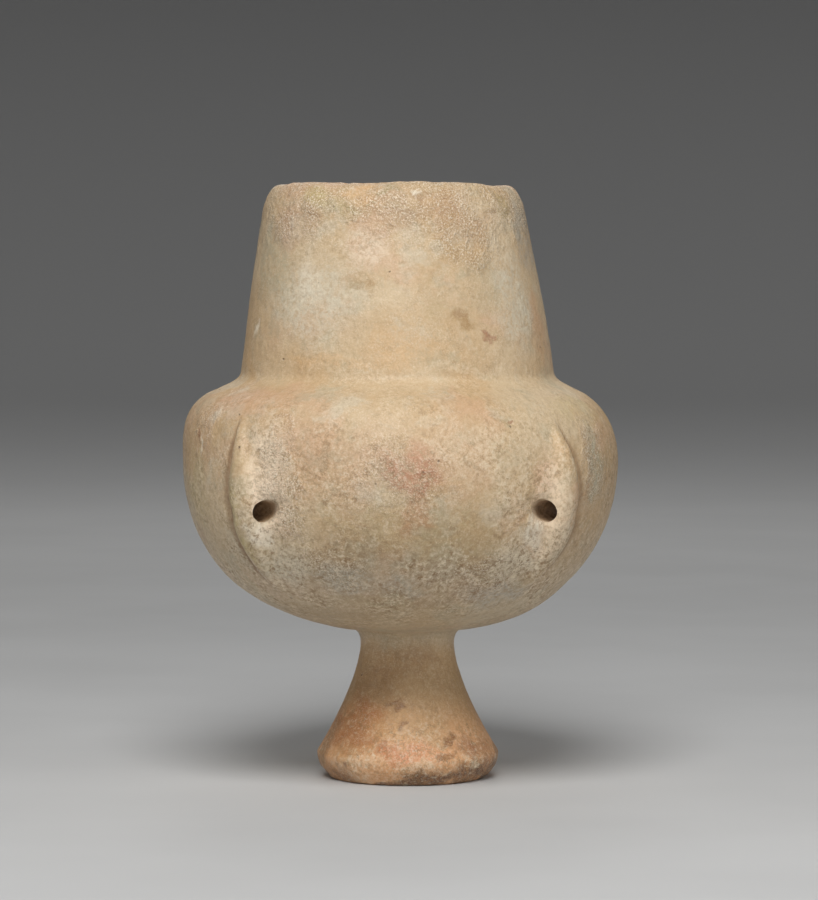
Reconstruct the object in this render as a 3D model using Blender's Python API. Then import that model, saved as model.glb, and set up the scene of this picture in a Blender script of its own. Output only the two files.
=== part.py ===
"""Collared jar of white marble, carved from one block: a conical foot, a round body with four pierced
upright lugs, and a tall collar that narrows to a worn rim.

The frame is in metres with +Z up. The origin is on the surface that the jar stands on, under the middle of
the body. The lugs stand at +X, +Y, -X and -Y, so the side that is seen between two lugs is at 45 degrees.
The jar is carved by hand and isn't quite true: its foot, shoulder and rim stand a little off the body's
axis, all along one level line that runs at 45 degrees.
"""

import math

import bmesh
import bpy
from mathutils import Matrix, Vector
from mathutils.geometry import interpolate_bezier

MM = 0.001

# Foot, stem and bowl: radii, and heights that add up from the underside
CONTACT_RADIUS = 31.5 * MM
FOOT_RADIUS = 37.6 * MM
FOOT_EDGE_RISE = 10.5 * MM
FOOT_FLARE_HEIGHT = 44.5 * MM
STEM_RADIUS = 19.3 * MM
STEM_TO_BOWL_POLE = 5.8 * MM
STEM_FILLET = 9.5 * MM
BOWL_DEPTH = 70.2 * MM
BODY_RADIUS = 89.9 * MM

# Shoulder, collar and rim
SHOULDER_RISE = 28.0 * MM
SHOULDER_INSET = 12.0 * MM
COLLAR_FILLET_RISE = 8.5 * MM
COLLAR_BASE_RADIUS = 64.8 * MM
COLLAR_HEIGHT = 68.0 * MM
COLLAR_TOP_RADIUS = 53.8 * MM
RIM_ROUNDING_RISE = 9.5 * MM
RIM_ROUNDING_INSET = 7.6 * MM

# The hollow: wall thicknesses, so that it follows the outside
RIM_WALL = 12.0 * MM
MOUTH_ROUNDING = 1.5 * MM
COLLAR_WALL = 13.5 * MM
BODY_WALL = 23.0 * MM
FLOOR_THICKNESS = 23.0 * MM
CAVITY_BELLY_DROP = 5.0 * MM

# Lugs, measured down and up from the widest level of the body
LUG_COUNT = 4
LUG_HALF_WIDTH = 7.0 * MM
LUG_REACH = 6.0 * MM
LUG_TOP_RISE = 20.0 * MM
LUG_CREST_DROP = 21.0 * MM
LUG_BOTTOM_DROP = 47.5 * MM

# Bores through the lugs, narrowest in the middle, each drilled from a long scoop at one mouth
BORE_MIDDLE_RADIUS = 3.5 * MM
BORE_MOUTH_RADIUS = 4.3 * MM
BORE_DROP = 17.3 * MM
BORE_INSET = 0.5 * MM
SCOOP_REACH = 22.0 * MM
SCOOP_LEAN_OUT = 3.0 * MM
SHORT_MOUTH_REACH = 14.0 * MM
SHORT_MOUTH_LEAN_OUT = 9.5 * MM

# How far each level stands off the body's axis, along the line at OFFSET_DIRECTION
OFFSET_DIRECTION = math.radians(45.0)
FOOT_OFFSET = 2.9 * MM
SHOULDER_OFFSET = -2.0 * MM
COLLAR_OFFSET = -1.3 * MM
RIM_OFFSET = -2.8 * MM

# Proportions of the curves
FOOT_FLARE_POWER = 1.5
BOWL_FULLNESS = 2.64
CAVITY_FULLNESS = 2.4
LUG_CREST_FALL = 0.4
LUG_FLANK_POWER = 16
LUG_SLIMMEST = 0.3
LUG_COLUMN_SHARES = (0.0, 0.42, 0.72, 0.88, 1.0, 1.14, 1.5)

# Facets
OPEN_ARC_STEPS = 4
CAVITY_SIDES = 40
BORE_SIDES = 20

MARBLE_COLOUR = (0.56, 0.45, 0.32, 1.0)
MARBLE_ROUGHNESS = 0.55

# Levels that follow from the sizes above
FOOT_EDGE_Z = FOOT_EDGE_RISE
STEM_Z = FOOT_EDGE_Z + FOOT_FLARE_HEIGHT
BOWL_POLE_Z = STEM_Z + STEM_TO_BOWL_POLE
BELLY_Z = BOWL_POLE_Z + BOWL_DEPTH
SHOULDER_Z = BELLY_Z + SHOULDER_RISE
COLLAR_BASE_Z = SHOULDER_Z + COLLAR_FILLET_RISE
COLLAR_TOP_Z = COLLAR_BASE_Z + COLLAR_HEIGHT
RIM_Z = COLLAR_TOP_Z + RIM_ROUNDING_RISE


def smooth_step(share):
    """0 to 1 with level ends."""
    share = min(max(share, 0.0), 1.0)
    return share * share * (3.0 - 2.0 * share)


def level_offset(z):
    """How far the centre of the level at height z stands off the body's axis."""
    stations = (
        (BOWL_POLE_Z, FOOT_OFFSET),
        (BELLY_Z - LUG_BOTTOM_DROP, 0.0),
        (BELLY_Z, 0.0),
        (SHOULDER_Z, SHOULDER_OFFSET),
        (COLLAR_BASE_Z, COLLAR_OFFSET),
        (RIM_Z, RIM_OFFSET),
    )
    if z <= stations[0][0]:
        return stations[0][1]
    for (low_z, low), (high_z, high) in zip(stations, stations[1:]):
        if z <= high_z:
            return low + (high - low) * smooth_step((z - low_z) / (high_z - low_z))
    return stations[-1][1]


def curve(start, start_handle, end_handle, end, steps):
    """Points of a Bezier stretch after its start, as (radius, height)."""
    points = interpolate_bezier(Vector(start), Vector(start_handle), Vector(end_handle), Vector(end), steps + 1)
    return [(point[0], point[1]) for point in points[1:]]


def bowl_radius(z):
    """Radius of the bowl below the belly, a full ellipse that is a little square at its underside."""
    share = (BELLY_Z - z) / BOWL_DEPTH
    return BODY_RADIUS * max(0.0, 1.0 - share * share) ** (1.0 / BOWL_FULLNESS)


def foot_outline():
    """Worn edge of the foot, then the flare up to the stem, its narrowest level."""
    points = [(CONTACT_RADIUS, 0.0)]
    points += curve(
        (CONTACT_RADIUS, 0.0),
        (CONTACT_RADIUS + 0.55 * (FOOT_RADIUS - CONTACT_RADIUS), 0.1 * FOOT_EDGE_RISE),
        (FOOT_RADIUS, 0.55 * FOOT_EDGE_RISE),
        (FOOT_RADIUS, FOOT_EDGE_Z),
        steps=3,
    )
    steps = 6
    for step in range(1, steps + 1):
        share = 1.0 - step / steps
        radius = STEM_RADIUS + (FOOT_RADIUS - STEM_RADIUS) * share ** FOOT_FLARE_POWER
        points.append((radius, STEM_Z - share * FOOT_FLARE_HEIGHT))
    return points


def body_outline():
    """Fillet from the stem to the bowl, the bowl up to the belly, and the shoulder up to the collar."""
    fillet_radius = STEM_RADIUS + STEM_FILLET
    depth_share = math.sqrt(1.0 - (fillet_radius / BODY_RADIUS) ** BOWL_FULLNESS)
    fillet_z = BELLY_Z - BOWL_DEPTH * depth_share
    points = curve(
        (STEM_RADIUS, STEM_Z),
        (STEM_RADIUS, STEM_Z + 0.75 * (fillet_z - STEM_Z)),
        (STEM_RADIUS + 0.25 * STEM_FILLET, fillet_z),
        (fillet_radius, fillet_z),
        steps=4,
    )
    steps = 12
    lowest = math.acos(depth_share)
    for step in range(1, steps + 1):
        angle = lowest + (math.pi / 2 - lowest) * step / steps
        z = BELLY_Z - BOWL_DEPTH * math.cos(angle)
        points.append((bowl_radius(z), z))
    shoulder_radius = BODY_RADIUS - SHOULDER_INSET
    collar_reach = shoulder_radius - COLLAR_BASE_RADIUS
    points += curve(
        (BODY_RADIUS, BELLY_Z),
        (BODY_RADIUS, BELLY_Z + 0.56 * SHOULDER_RISE),
        (BODY_RADIUS - 0.34 * SHOULDER_INSET, BELLY_Z + 0.82 * SHOULDER_RISE),
        (shoulder_radius, SHOULDER_Z),
        steps=6,
    )
    points += curve(
        (shoulder_radius, SHOULDER_Z),
        (shoulder_radius - 0.66 * collar_reach, SHOULDER_Z + 0.5 * COLLAR_FILLET_RISE),
        (COLLAR_BASE_RADIUS + 0.06 * collar_reach, SHOULDER_Z + 0.62 * COLLAR_FILLET_RISE),
        (COLLAR_BASE_RADIUS, COLLAR_BASE_Z),
        steps=4,
    )
    return points


def collar_outline():
    """Straight collar, then the worn outer edge of the rim."""
    steps = 2
    points = []
    for step in range(1, steps + 1):
        share = step / steps
        radius = COLLAR_BASE_RADIUS + (COLLAR_TOP_RADIUS - COLLAR_BASE_RADIUS) * share
        points.append((radius, COLLAR_BASE_Z + COLLAR_HEIGHT * share))
    points += curve(
        (COLLAR_TOP_RADIUS, COLLAR_TOP_Z),
        (COLLAR_TOP_RADIUS - 0.22 * RIM_ROUNDING_INSET, COLLAR_TOP_Z + 0.55 * RIM_ROUNDING_RISE),
        (COLLAR_TOP_RADIUS - 0.45 * RIM_ROUNDING_INSET, RIM_Z),
        (COLLAR_TOP_RADIUS - RIM_ROUNDING_INSET, RIM_Z),
        steps=4,
    )
    return points


def cavity_outline():
    """The hollow from its floor up through the mouth, running past the rim so that it cuts clear."""
    belly_z = BELLY_Z - CAVITY_BELLY_DROP
    belly_radius = BODY_RADIUS - BODY_WALL
    floor_z = BOWL_POLE_Z + FLOOR_THICKNESS
    neck_radius = COLLAR_BASE_RADIUS - COLLAR_WALL
    mouth_radius = COLLAR_TOP_RADIUS - RIM_WALL
    points = []
    steps = 8
    for step in range(1, steps + 1):
        angle = math.pi / 2 * step / steps
        share = math.cos(angle)
        radius = belly_radius * (1.0 - share * share) ** (1.0 / CAVITY_FULLNESS)
        points.append((radius, belly_z - (belly_z - floor_z) * share))
    points += curve(
        (belly_radius, belly_z),
        (belly_radius, belly_z + 0.6 * (COLLAR_BASE_Z - belly_z)),
        (neck_radius + 0.15 * COLLAR_WALL, COLLAR_BASE_Z - 0.3 * COLLAR_WALL),
        (neck_radius, COLLAR_BASE_Z),
        steps=6,
    )
    points += [(mouth_radius, RIM_Z - 2.0 * MOUTH_ROUNDING)]
    points += curve(
        (mouth_radius, RIM_Z - 2.0 * MOUTH_ROUNDING),
        (mouth_radius, RIM_Z - MOUTH_ROUNDING),
        (mouth_radius + 0.3 * MOUTH_ROUNDING, RIM_Z - 0.3 * MOUTH_ROUNDING),
        (mouth_radius + MOUTH_ROUNDING, RIM_Z),
        steps=3,
    )
    points += [(mouth_radius + MOUTH_ROUNDING, RIM_Z + RIM_WALL)]
    return floor_z, points


def lug_swell(z):
    """0 to 1: how far a lug stands out at height z, most at the crest level and nothing at its two ends."""
    rise = z - (BELLY_Z - LUG_CREST_DROP)
    length = LUG_CREST_DROP + LUG_TOP_RISE if rise >= 0.0 else LUG_BOTTOM_DROP - LUG_CREST_DROP
    return max(0.0, 1.0 - (rise / length) ** 2)


def lug_section(share):
    """0 to 1: a lug's rounded crest and steep flank, at a share of its half width from its middle plane."""
    return (1.0 - LUG_CREST_FALL * min(share, 1.0) ** 2) / (1.0 + share ** LUG_FLANK_POWER)


def lug_columns(z):
    """(angle, stand-out) of each column at height z: close together on the lugs, wide apart between them."""
    swell = lug_swell(z)
    half_sector = math.pi / LUG_COUNT
    half_angle = LUG_HALF_WIDTH / BODY_RADIUS * max(swell, LUG_SLIMMEST)
    side = [(share * half_angle, LUG_REACH * swell * lug_section(share)) for share in LUG_COLUMN_SHARES]
    flank_end = side[-1][0]
    open_step = (half_sector - flank_end) / OPEN_ARC_STEPS
    side += [(flank_end + open_step * step, 0.0) for step in range(1, OPEN_ARC_STEPS + 1)]
    columns = []
    for lug in range(LUG_COUNT):
        middle = 2.0 * half_sector * lug
        columns += [(middle - angle, reach) for angle, reach in reversed(side[1:])]
        columns += [(middle + angle, reach) for angle, reach in side[:-1]]
    return columns


def plain_columns():
    """Even columns of the round hollow, which has no lugs."""
    return [(2.0 * math.pi * index / CAVITY_SIDES, 0.0) for index in range(CAVITY_SIDES)]


def ring(mesh, columns, radius, z):
    """One level of vertices about that level's own centre."""
    centre = Vector((math.cos(OFFSET_DIRECTION), math.sin(OFFSET_DIRECTION), 0.0)) * level_offset(z)
    vertices = []
    for angle, reach in columns:
        across = Vector((math.cos(angle), math.sin(angle), 0.0)) * (radius + reach)
        vertices.append(mesh.verts.new(centre + across + Vector((0.0, 0.0, z))))
    return vertices


def close_between(mesh, lower, upper):
    """Quads between two rings, facing outwards."""
    count = len(lower)
    for index in range(count):
        after = (index + 1) % count
        mesh.faces.new((lower[index], lower[after], upper[after], upper[index]))


def finished_object(name, mesh, material=None):
    """Turns a bmesh into a linked object with outward faces."""
    bmesh.ops.recalc_face_normals(mesh, faces=mesh.faces)
    data = bpy.data.meshes.new(name)
    mesh.to_mesh(data)
    mesh.free()
    data.shade_smooth()
    data.set_sharp_from_angle(angle=math.radians(40.0))
    if material is not None:
        data.materials.append(material)
    made = bpy.data.objects.new(name, data)
    bpy.context.scene.collection.objects.link(made)
    return made


def mark_as_cutter(made):
    made.hide_render = True
    made.display_type = "WIRE"


def make_block(material):
    """The whole outside as one closed solid, before it is hollowed and drilled."""
    mesh = bmesh.new()
    outline = foot_outline() + body_outline() + collar_outline()
    rings = [ring(mesh, lug_columns(z), radius, z) for radius, z in outline]
    for lower, upper in zip(rings, rings[1:]):
        close_between(mesh, lower, upper)
    mesh.faces.new(reversed(rings[0]))
    mesh.faces.new(rings[-1])
    return finished_object("jar", mesh, material)


def make_cavity_cutter():
    """The hollow as a solid, from a point on its floor to a disc above the rim."""
    mesh = bmesh.new()
    columns = plain_columns()
    floor_z, outline = cavity_outline()
    rings = [ring(mesh, columns, radius, z) for radius, z in outline]
    across = Vector((math.cos(OFFSET_DIRECTION), math.sin(OFFSET_DIRECTION), 0.0))
    pole = mesh.verts.new(across * level_offset(floor_z) + Vector((0.0, 0.0, floor_z)))
    for index, vertex in enumerate(rings[0]):
        mesh.faces.new((pole, rings[0][(index + 1) % CAVITY_SIDES], vertex))
    for lower, upper in zip(rings, rings[1:]):
        close_between(mesh, lower, upper)
    mesh.faces.new(rings[-1])
    cutter = finished_object("cavity_cutter", mesh)
    mark_as_cutter(cutter)
    return cutter


def make_bore_cutter(lug):
    """One lug's bore, as circles in planes across it. The scoops are towards +X-Y and -X+Y, between the lugs."""
    mesh = bmesh.new()
    bore_z = BELLY_Z - BORE_DROP
    bore_distance = bowl_radius(bore_z) - BORE_INSET
    scoop_side = -1.0 if lug % 2 == 0 else 1.0
    stations = (
        (-scoop_side * SHORT_MOUTH_REACH, BORE_MOUTH_RADIUS, SHORT_MOUTH_LEAN_OUT),
        (-scoop_side * LUG_HALF_WIDTH, BORE_MOUTH_RADIUS, 0.0),
        (0.0, BORE_MIDDLE_RADIUS, 0.0),
        (scoop_side * LUG_HALF_WIDTH, BORE_MOUTH_RADIUS, 0.0),
        (scoop_side * SCOOP_REACH, BORE_MOUTH_RADIUS, SCOOP_LEAN_OUT),
    )
    circles = []
    for along, radius, lean_out in stations:
        circle = []
        for index in range(BORE_SIDES):
            angle = 2.0 * math.pi * (index + 0.5) / BORE_SIDES
            out = bore_distance + lean_out + radius * math.cos(angle)
            up = bore_z + radius * math.sin(angle)
            circle.append(mesh.verts.new((out, along, up)))
        circles.append(circle)
    for first, second in zip(circles, circles[1:]):
        close_between(mesh, first, second)
    mesh.faces.new(circles[0])
    mesh.faces.new(reversed(circles[-1]))
    turn = Matrix.Rotation(2.0 * math.pi * lug / LUG_COUNT, 4, "Z")
    bmesh.ops.transform(mesh, matrix=turn, verts=mesh.verts)
    cutter = finished_object(f"bore_cutter_{lug + 1}", mesh)
    mark_as_cutter(cutter)
    return cutter


def cut(target, cutter):
    modifier = target.modifiers.new(f"cut_{cutter.name}", "BOOLEAN")
    modifier.operation = "DIFFERENCE"
    modifier.solver = "EXACT"
    modifier.object = cutter


def marble():
    material = bpy.data.materials.new("marble")
    material.use_nodes = True
    shader = material.node_tree.nodes["Principled BSDF"]
    shader.inputs["Base Color"].default_value = MARBLE_COLOUR
    shader.inputs["Roughness"].default_value = MARBLE_ROUGHNESS
    shader.inputs["Metallic"].default_value = 0.0
    return material


def main():
    for old in list(bpy.data.objects):
        bpy.data.objects.remove(old)
    jar = make_block(marble())
    cut(jar, make_cavity_cutter())
    for lug in range(LUG_COUNT):
        cut(jar, make_bore_cutter(lug))


main()
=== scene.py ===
"""Looks of the carved marble jar: its fine form, its weathered stone, and a plain studio around it.

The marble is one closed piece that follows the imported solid's levels, finer and with the wear that the
plain solid lacks. Everything is in metres, in the solid's own frame: the jar stands at the origin and the
photographed side lies between the +X and -Y lugs.
"""

import math
import random

import bmesh
import bpy
from mathutils import Matrix, Vector, kdtree, noise
from mathutils.geometry import interpolate_bezier


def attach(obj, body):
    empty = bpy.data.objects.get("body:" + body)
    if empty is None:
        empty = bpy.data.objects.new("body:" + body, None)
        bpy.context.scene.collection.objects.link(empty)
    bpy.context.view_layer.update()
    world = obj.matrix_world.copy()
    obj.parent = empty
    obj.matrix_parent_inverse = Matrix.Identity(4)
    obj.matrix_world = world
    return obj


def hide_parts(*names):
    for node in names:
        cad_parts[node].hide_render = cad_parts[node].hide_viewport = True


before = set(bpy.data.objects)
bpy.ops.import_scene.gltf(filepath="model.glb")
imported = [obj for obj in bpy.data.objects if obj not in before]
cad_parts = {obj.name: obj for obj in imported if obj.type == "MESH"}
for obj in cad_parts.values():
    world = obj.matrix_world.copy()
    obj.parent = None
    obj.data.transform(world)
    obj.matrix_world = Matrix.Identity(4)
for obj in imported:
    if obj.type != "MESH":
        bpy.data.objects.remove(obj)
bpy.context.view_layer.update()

MM = 0.001

# The photograph's viewing angle: FRONT is the direction from the jar to the camera
AZIMUTH = math.radians(43.5)
FRONT = Vector((math.sin(AZIMUTH), -math.cos(AZIMUTH), 0.0))
RIGHT = Vector((math.cos(AZIMUTH), math.sin(AZIMUTH), 0.0))
UP = Vector((0.0, 0.0, 1.0))
CAMERA_DISTANCE = 1.450
CAMERA_HEIGHT = 0.198
FRAME_WIDTH, FRAME_HEIGHT = 818, 900
METRES_PER_PIXEL = 0.414 * MM
AXIS_COLUMN, GROUND_ROW = 400.5, 777.0

# The solid's sizes, as in the part's source
CONTACT_RADIUS = 31.5 * MM
FOOT_RADIUS = 37.6 * MM
FOOT_EDGE_Z = 10.5 * MM
STEM_RADIUS = 19.3 * MM
STEM_Z = 55.0 * MM
BOWL_POLE_Z = 60.8 * MM
STEM_FILLET = 9.5 * MM
BODY_RADIUS = 89.9 * MM
BELLY_Z = 131.0 * MM
SHOULDER_Z = 159.0 * MM
SHOULDER_RADIUS = 77.9 * MM
COLLAR_BASE_Z = 167.5 * MM
COLLAR_BASE_RADIUS = 64.8 * MM
COLLAR_TOP_Z = 235.5 * MM
COLLAR_TOP_RADIUS = 53.8 * MM
RIM_Z = 245.0 * MM
RIM_INSET = 7.6 * MM
MOUTH_RADIUS = 41.8 * MM
MOUTH_ROUNDING = 1.5 * MM
CAVITY_FLOOR_Z = 83.8 * MM
CAVITY_BELLY_Z = 126.0 * MM
CAVITY_RADIUS = 66.9 * MM
NECK_RADIUS = 51.3 * MM
COLLAR_WALL = 13.5 * MM
BOWL_FULLNESS = 2.64
CAVITY_FULLNESS = 2.4

LUG_HALF_WIDTH = 7.0 * MM
LUG_REACH = 6.0 * MM
LUG_TOP_Z = 151.0 * MM
LUG_CREST_Z = 110.0 * MM
LUG_BOTTOM_Z = 83.5 * MM
BORE_Z = 113.7 * MM
BORE_INSET = 0.5 * MM

# How far the levels' centres stand off the body's axis, by height, and in which direction
OFFSET_STATIONS = (
    (BOWL_POLE_Z, 2.9 * MM),
    (LUG_BOTTOM_Z, 0.0),
    (BELLY_Z, 0.0),
    (SHOULDER_Z, -2.0 * MM),
    (COLLAR_BASE_Z, -1.3 * MM),
    (RIM_Z, -2.8 * MM),
)
OFFSET_LINE = Vector((math.cos(math.radians(45.0)), math.sin(math.radians(45.0)), 0.0))

# How the finer lugs differ from the solid's; shares are of a lug's half width, below 0 on its steep side
FRONT_LUGS = (0, 3)
FRONT_LUG_BOW = math.radians(-1.5)
BACK_LUG_BOW = math.radians(-0.9)
LUG_RUN_OUT = 3.0 * MM
LUG_LEAST_WIDTH = 0.3
LOW_END_FULLNESS = 0.78
LOW_END_SPREAD = 0.5
CREST_FALL = 0.4
STEEP_POWER = 16
SOFT_POWER = 7.0
SOFT_POWER_LOSS = 3.5
SOFT_TOE, SOFT_TOE_WIDTH, SOFT_TOE_HEIGHT = 1.2, 0.6, 0.12
CREASE, CREASE_WIDTH, CREASE_DEPTH = -1.24, 0.17, 0.10
# Bands of painted shade on the steep side, along and beyond the crease: middle, width and strength, as shares
CREASE_SHADE_BANDS = ((-1.17, 0.19, 0.85), (-1.75, 0.38, 0.36))

# One bore along its run, in mm: along, towards the long scoop, outwards, upwards, and radius
BORE_RUN = (
    (-14.0, 9.5, 1.2, 4.3),
    (-10.0, 3.6, 0.5, 4.25),
    (-7.0, 0.2, 0.0, 4.1),
    (-3.5, -0.3, 0.0, 3.7),
    (0.0, -0.5, 0.0, 3.6),
    (4.0, -0.8, 0.1, 4.0),
    (7.5, -0.5, 0.3, 4.4),
    (11.0, 0.6, 0.9, 4.5),
    (15.0, 2.2, 1.7, 4.1),
    (20.0, 4.6, 2.6, 3.5),
)
BORE_SIDES = 32

# The mesh: rows of the underside as shares of its radius, and the spacing of the outside's rows by height, in mm
UNDERSIDE_SHARES = (0.12, 0.3, 0.48, 0.66, 0.82, 0.94, 1.0)
UNDERSIDE_LIFT = 0.3 * MM
ROW_SPACINGS = (
    (0.0, 0.9), (13.0, 1.1), (18.0, 2.0), (50.0, 1.7), (60.0, 1.4), (66.0, 2.3), (84.0, 2.0), (102.0, 1.5),
    (105.0, 0.8), (122.5, 0.8), (126.0, 1.7), (150.0, 1.8), (156.0, 1.3), (168.0, 0.9), (174.0, 1.9),
    (226.0, 1.9), (232.0, 0.9), (245.0, 0.8),
)
HOLLOW_SPACING = 6.0
MOUTH_SPACING = 1.1
# Columns: degrees to either side of a lug's middle that the close ones cover, their number, and the number between lugs
LUG_ARC = 7.2
LUG_COLUMNS = 17
WALL_COLUMNS = 58


# ------------------------------------------------------------------------------------------ form

def smooth_step(share):
    """0 to 1 with level ends."""
    share = min(max(share, 0.0), 1.0)
    return share * share * (3.0 - 2.0 * share)


def bell(value, middle, width):
    """1 at the middle, falling off on both sides and never quite 0."""
    return math.exp(-((value - middle) / width) ** 2)


def hill(value, middle, reach):
    """1 at the middle, falling smoothly to 0 at the reach on either side."""
    return smooth_step(1.0 - abs(value - middle) / reach)


def level_centre(z):
    """Centre of the level at height z, which stands a little off the body's axis."""
    offset = OFFSET_STATIONS[-1][1]
    if z <= OFFSET_STATIONS[0][0]:
        offset = OFFSET_STATIONS[0][1]
    else:
        for (low_z, low), (high_z, high) in zip(OFFSET_STATIONS, OFFSET_STATIONS[1:]):
            if z <= high_z:
                offset = low + (high - low) * smooth_step((z - low_z) / (high_z - low_z))
                break
    return OFFSET_LINE * offset


def curve(start, start_handle, end_handle, end, steps=24):
    """Points of a Bezier stretch after its start, as (radius, height)."""
    points = interpolate_bezier(Vector(start), Vector(start_handle), Vector(end_handle), Vector(end), steps + 1)
    return [(point[0], point[1]) for point in points[1:]]


def bowl_radius(z):
    share = (BELLY_Z - z) / (BELLY_Z - BOWL_POLE_Z)
    return BODY_RADIUS * max(0.0, 1.0 - share * share) ** (1.0 / BOWL_FULLNESS)


def outside_outline():
    """The outside from the edge that it stands on up to the flat of the rim."""
    rise = FOOT_EDGE_Z
    points = [(CONTACT_RADIUS, 0.0)]
    points += curve(
        (CONTACT_RADIUS, 0.0),
        (CONTACT_RADIUS + 0.55 * (FOOT_RADIUS - CONTACT_RADIUS), 0.1 * rise),
        (FOOT_RADIUS, 0.55 * rise),
        (FOOT_RADIUS, rise),
    )
    for step in range(1, 41):
        share = 1.0 - step / 40
        points.append((STEM_RADIUS + (FOOT_RADIUS - STEM_RADIUS) * share ** 1.5, STEM_Z - share * (STEM_Z - rise)))
    fillet_radius = STEM_RADIUS + STEM_FILLET
    depth_share = math.sqrt(1.0 - (fillet_radius / BODY_RADIUS) ** BOWL_FULLNESS)
    fillet_z = BELLY_Z - (BELLY_Z - BOWL_POLE_Z) * depth_share
    points += curve(
        (STEM_RADIUS, STEM_Z),
        (STEM_RADIUS, STEM_Z + 0.75 * (fillet_z - STEM_Z)),
        (STEM_RADIUS + 0.25 * STEM_FILLET, fillet_z),
        (fillet_radius, fillet_z),
    )
    lowest = math.acos(depth_share)
    for step in range(1, 91):
        angle = lowest + (math.pi / 2 - lowest) * step / 90
        z = BELLY_Z - (BELLY_Z - BOWL_POLE_Z) * math.cos(angle)
        points.append((bowl_radius(z), z))
    rise = SHOULDER_Z - BELLY_Z
    inset = BODY_RADIUS - SHOULDER_RADIUS
    points += curve(
        (BODY_RADIUS, BELLY_Z),
        (BODY_RADIUS, BELLY_Z + 0.56 * rise),
        (BODY_RADIUS - 0.34 * inset, BELLY_Z + 0.82 * rise),
        (SHOULDER_RADIUS, SHOULDER_Z),
    )
    rise = COLLAR_BASE_Z - SHOULDER_Z
    reach = SHOULDER_RADIUS - COLLAR_BASE_RADIUS
    points += curve(
        (SHOULDER_RADIUS, SHOULDER_Z),
        (SHOULDER_RADIUS - 0.66 * reach, SHOULDER_Z + 0.5 * rise),
        (COLLAR_BASE_RADIUS + 0.06 * reach, SHOULDER_Z + 0.62 * rise),
        (COLLAR_BASE_RADIUS, COLLAR_BASE_Z),
    )
    for step in range(1, 41):
        share = step / 40
        swell = 0.45 * MM * math.sin(math.pi * share)
        radius = COLLAR_BASE_RADIUS + (COLLAR_TOP_RADIUS - COLLAR_BASE_RADIUS) * share + swell
        points.append((radius, COLLAR_BASE_Z + (COLLAR_TOP_Z - COLLAR_BASE_Z) * share))
    rise = RIM_Z - COLLAR_TOP_Z
    points += curve(
        (COLLAR_TOP_RADIUS, COLLAR_TOP_Z),
        (COLLAR_TOP_RADIUS - 0.22 * RIM_INSET, COLLAR_TOP_Z + 0.55 * rise),
        (COLLAR_TOP_RADIUS - 0.45 * RIM_INSET, RIM_Z),
        (COLLAR_TOP_RADIUS - RIM_INSET, RIM_Z),
    )
    return points


def mouth_outline():
    """Over the flat of the rim and its worn inner edge."""
    return [(MOUTH_RADIUS + MOUTH_ROUNDING, RIM_Z)] + curve(
        (MOUTH_RADIUS + MOUTH_ROUNDING, RIM_Z),
        (MOUTH_RADIUS + 0.3 * MOUTH_ROUNDING, RIM_Z - 0.3 * MOUTH_ROUNDING),
        (MOUTH_RADIUS, RIM_Z - MOUTH_ROUNDING),
        (MOUTH_RADIUS, RIM_Z - 2.0 * MOUTH_ROUNDING),
    )


def cavity_outline():
    """The hollow, down from the mouth to its floor."""
    points = []
    for step in range(1, 21):
        share = step / 20
        top = RIM_Z - 2.0 * MOUTH_ROUNDING
        points.append((MOUTH_RADIUS + (NECK_RADIUS - MOUTH_RADIUS) * share, top + (COLLAR_BASE_Z - top) * share))
    points += curve(
        (NECK_RADIUS, COLLAR_BASE_Z),
        (NECK_RADIUS + 0.15 * COLLAR_WALL, COLLAR_BASE_Z - 0.3 * COLLAR_WALL),
        (CAVITY_RADIUS, CAVITY_BELLY_Z + 0.6 * (COLLAR_BASE_Z - CAVITY_BELLY_Z)),
        (CAVITY_RADIUS, CAVITY_BELLY_Z),
    )
    for step in range(1, 60):
        share = math.sin(math.pi / 2 * step / 60)
        radius = CAVITY_RADIUS * (1.0 - share ** 2) ** (1.0 / CAVITY_FULLNESS)
        points.append((radius, CAVITY_BELLY_Z - (CAVITY_BELLY_Z - CAVITY_FLOOR_Z) * share))
    return points


def row_spacing(z, inside):
    """How far apart the rows of vertices stand, least where the form is finest."""
    if inside:
        return (MOUTH_SPACING if z > RIM_Z - 6 * MM else HOLLOW_SPACING) * MM
    for (low_z, low), (high_z, high) in zip(ROW_SPACINGS, ROW_SPACINGS[1:]):
        if z <= high_z * MM:
            return (low + (high - low) * (z / MM - low_z) / (high_z - low_z)) * MM
    return ROW_SPACINGS[-1][1] * MM


def walk(points, inside=False):
    """The outline again as evenly graded rows of (radius, height), without its first point."""
    reached = [0.0]
    for start, end in zip(points, points[1:]):
        length = math.hypot(end[0] - start[0], end[1] - start[1])
        reached.append(reached[-1] + length / row_spacing(0.5 * (start[1] + end[1]), inside))
    count = max(1, round(reached[-1]))
    rows, index = [], 0
    for step in range(1, count + 1):
        target = reached[-1] * step / count
        while index < len(reached) - 2 and reached[index + 1] < target:
            index += 1
        share = (target - reached[index]) / (reached[index + 1] - reached[index])
        start, end = points[index], points[index + 1]
        rows.append(tuple(a + (b - a) * share for a, b in zip(start, end)))
    return rows


def all_rows():
    """Rows from the middle of the underside, up the outside, over the rim and down to the hollow's floor."""
    rows = [(CONTACT_RADIUS * share, 0.0) for share in UNDERSIDE_SHARES]
    outside = outside_outline()
    rows += walk(outside)
    mouth = [outside[-1]] + mouth_outline()
    rows += walk(mouth)
    rows += walk([mouth[-1]] + cavity_outline(), inside=True)
    return rows


def column_angles():
    """Angles of the columns, close together across each lug."""
    angles = []
    for lug in range(4):
        middle = 90.0 * lug
        angles += [middle + LUG_ARC * step / LUG_COLUMNS for step in range(-LUG_COLUMNS, LUG_COLUMNS)]
        wall = 90.0 - 2.0 * LUG_ARC
        angles += [middle + LUG_ARC + wall * step / WALL_COLUMNS for step in range(WALL_COLUMNS)]
    return [math.radians(angle) for angle in angles]


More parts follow.
